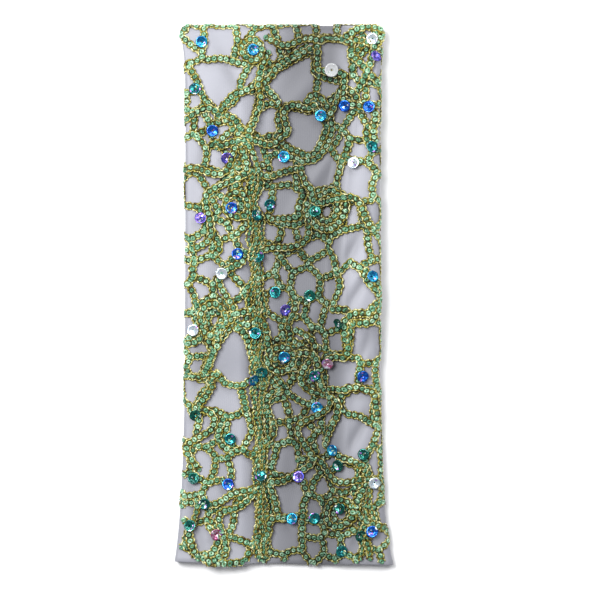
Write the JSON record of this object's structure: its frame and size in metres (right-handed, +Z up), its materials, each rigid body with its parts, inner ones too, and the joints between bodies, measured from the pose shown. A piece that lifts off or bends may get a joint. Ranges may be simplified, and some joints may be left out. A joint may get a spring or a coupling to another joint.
{
  "type": "folded napkin with lace face",
  "caption": "Square satin table napkin under an open lace of chain cords with sequins, folded into a long flat strip with its end turned under.",
  "frame": {"origin": "middle of the strip's outline, on the surface it lies on", "axes": "+Z up, +Y along the strip towards the end that is turned under, +X across the strip"},
  "size_m": [0.1376, 0.3402, 0.0217],
  "materials": {
    "satin": "smooth lilac-grey satin",
    "lace": "mint thread and gold metal cord"
  },
  "bodies": {
    "root": {"satin_ground": "satin", "lace_web": "lace"}
  },
  "joints": []
}
